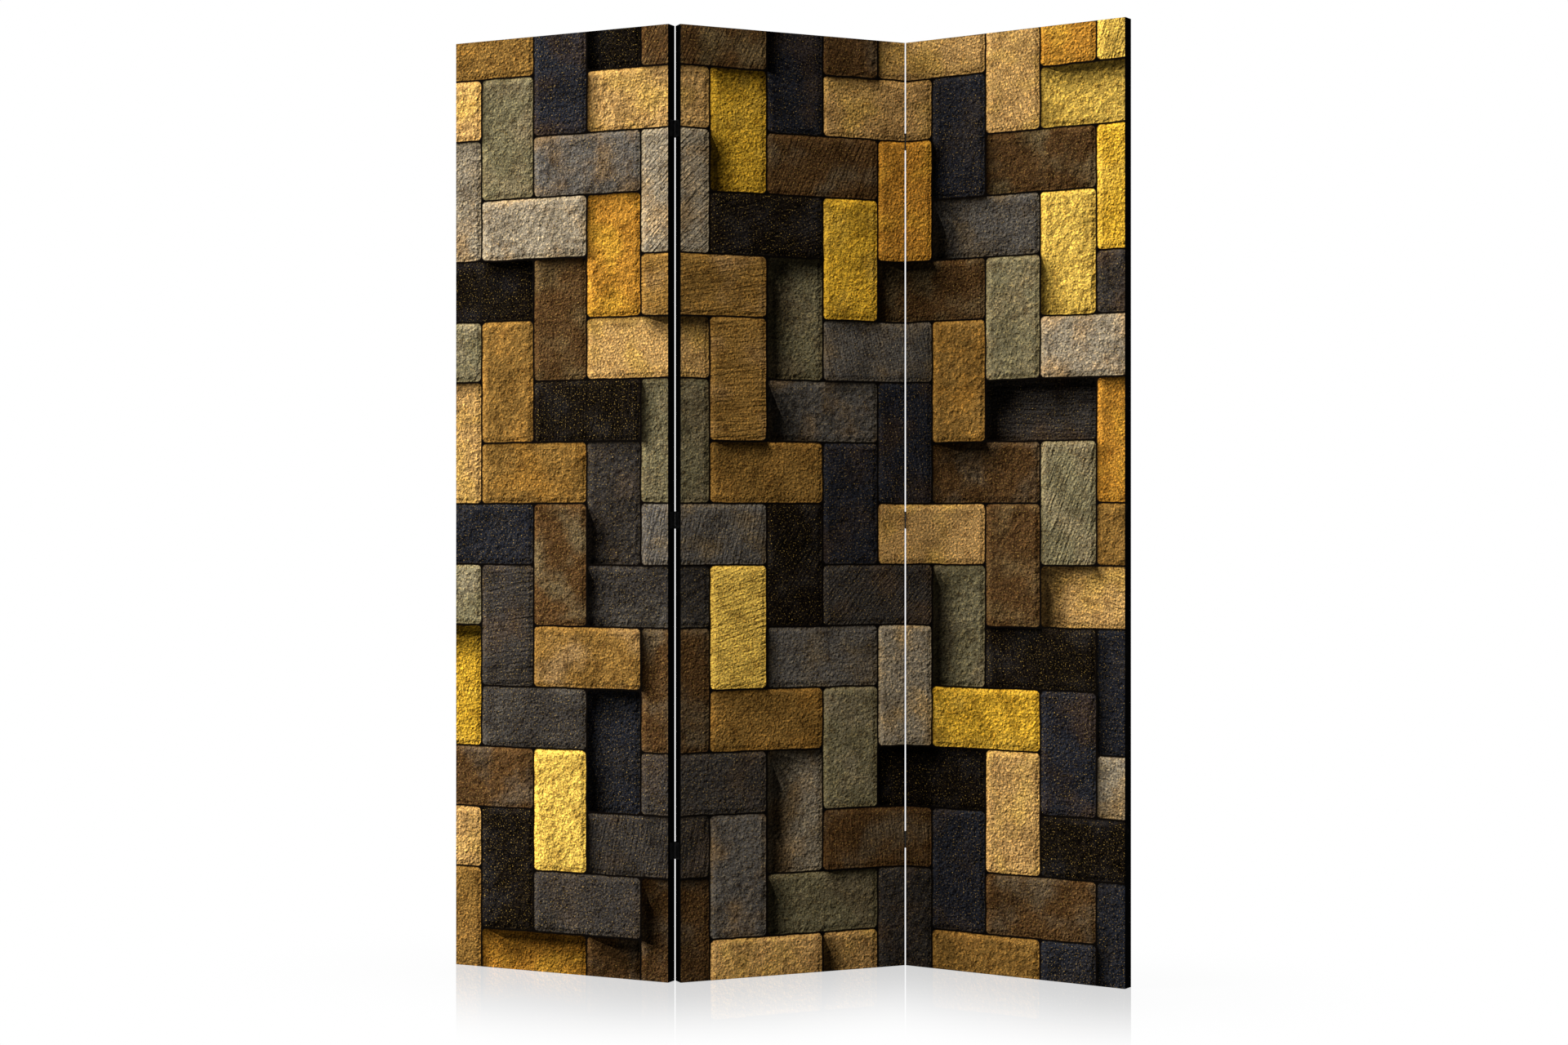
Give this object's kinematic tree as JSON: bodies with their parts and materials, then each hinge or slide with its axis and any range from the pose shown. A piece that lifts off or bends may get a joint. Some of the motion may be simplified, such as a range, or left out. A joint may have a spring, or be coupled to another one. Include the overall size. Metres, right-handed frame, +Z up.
{
  "type": "canvas folding screen",
  "caption": "Free-standing folding screen of tall stretched-canvas panels on hinged wooden frames, standing in a zigzag to divide a room and folding flat.",
  "frame": {"origin": "on the floor, at the middle of the standing screen's outline", "axes": "+X to the right of someone who faces the printed side, +Y away from them, +Z up"},
  "size_m": [1.2282, 0.2846, 1.72],
  "materials": {
    "printed_canvas": "printed cotton canvas, matt",
    "back_cover": "unbleached cotton, plain weave",
    "pine": "planed, unfinished",
    "bright_steel": "galvanised",
    "black_screw": "black",
    "black_hinge": "satin black",
    "hinge_pin": "blackened"
  },
  "bodies": {
    "left_panel": {"left_left_stile": "pine", "left_right_stile": "pine", "left_top_rail": "pine", "left_bottom_rail": "pine", "left_upper_crossbar": "pine", "left_lower_crossbar": "pine", "left_printed_canvas": "printed_canvas", "left_back_cover": "back_cover", "left_corner_v_nails": "bright_steel", "left_canvas_staples": "bright_steel", "left_cover_staples": "bright_steel", "left_hinge_screws": "black_screw", "left_fold_bottom_hinge_outer_leaf": "black_hinge", "left_fold_middle_hinge_outer_leaf": "black_hinge", "left_fold_top_hinge_outer_leaf": "black_hinge"},
    "middle_panel": {"middle_left_stile": "pine", "middle_right_stile": "pine", "middle_top_rail": "pine", "middle_bottom_rail": "pine", "middle_upper_crossbar": "pine", "middle_lower_crossbar": "pine", "middle_printed_canvas": "printed_canvas", "middle_back_cover": "back_cover", "middle_corner_v_nails": "bright_steel", "middle_canvas_staples": "bright_steel", "middle_cover_staples": "bright_steel", "middle_hinge_screws": "black_screw", "left_fold_bottom_hinge_inner_leaf": "black_hinge", "left_fold_bottom_hinge_pin": "hinge_pin", "left_fold_middle_hinge_inner_leaf": "black_hinge", "left_fold_middle_hinge_pin": "hinge_pin", "left_fold_top_hinge_inner_leaf": "black_hinge", "left_fold_top_hinge_pin": "hinge_pin", "right_fold_bottom_hinge_inner_leaf": "black_hinge", "right_fold_bottom_hinge_pin": "hinge_pin", "right_fold_middle_hinge_inner_leaf": "black_hinge", "right_fold_middle_hinge_pin": "hinge_pin", "right_fold_top_hinge_inner_leaf": "black_hinge", "right_fold_top_hinge_pin": "hinge_pin"},
    "right_panel": {"right_left_stile": "pine", "right_right_stile": "pine", "right_top_rail": "pine", "right_bottom_rail": "pine", "right_upper_crossbar": "pine", "right_lower_crossbar": "pine", "right_printed_canvas": "printed_canvas", "right_back_cover": "back_cover", "right_corner_v_nails": "bright_steel", "right_canvas_staples": "bright_steel", "right_cover_staples": "bright_steel", "right_hinge_screws": "black_screw", "right_fold_bottom_hinge_outer_leaf": "black_hinge", "right_fold_middle_hinge_outer_leaf": "black_hinge", "right_fold_top_hinge_outer_leaf": "black_hinge"}
  },
  "joints": [
    {"name": "left_fold", "type": "hinge", "parent": "middle_panel", "child": "left_panel", "pos_m": [-0.19823, -0.05386, 0], "axis": [0, 0, -1], "range_deg": [-50, 130]},
    {"name": "right_fold", "type": "hinge", "parent": "middle_panel", "child": "right_panel", "pos_m": [0.22459, 0.10505, 0], "axis": [0, 0, -1], "range_deg": [-57.5, 122.5]}
  ]
}
